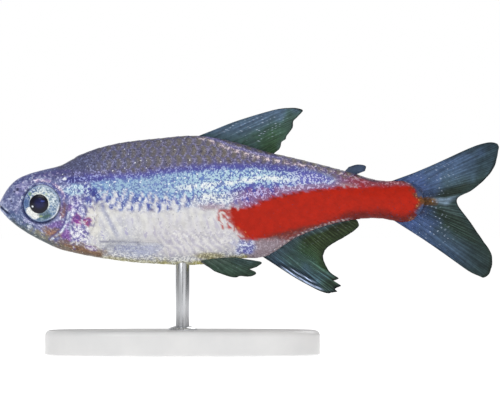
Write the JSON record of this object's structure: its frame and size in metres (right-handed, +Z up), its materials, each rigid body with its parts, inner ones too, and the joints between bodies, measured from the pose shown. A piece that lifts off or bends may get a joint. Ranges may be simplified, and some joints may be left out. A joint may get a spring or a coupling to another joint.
{
  "type": "neon tetra",
  "caption": "Life-size still model of a neon tetra swimming level, held over a low oval display base by a thin rod under its belly.",
  "frame": {"origin": "middle of the whole model's length and width, at the underside of the display base", "axes": "+Z up, the fish's head points along -X and its tail along +X, its left flank faces -Y"},
  "size_m": [0.0401, 0.013, 0.0198],
  "materials": {
    "skin": "satin",
    "eye": "gloss",
    "fin": "satin",
    "base": "satin",
    "rod": "satin"
  },
  "bodies": {
    "root": {"head": "skin", "trunk": "skin", "tail_stem": "skin", "eye_left": "eye", "eye_right": "eye", "dorsal_fin": "fin", "adipose_fin": "fin", "anal_fin": "fin", "tail_fin_upper": "fin", "tail_fin_lower": "fin", "pelvic_fin_left": "fin", "pelvic_fin_right": "fin", "pectoral_fin_left": "fin", "pectoral_fin_right": "fin", "stand_base": "base", "stand_rod": "rod"}
  },
  "joints": []
}
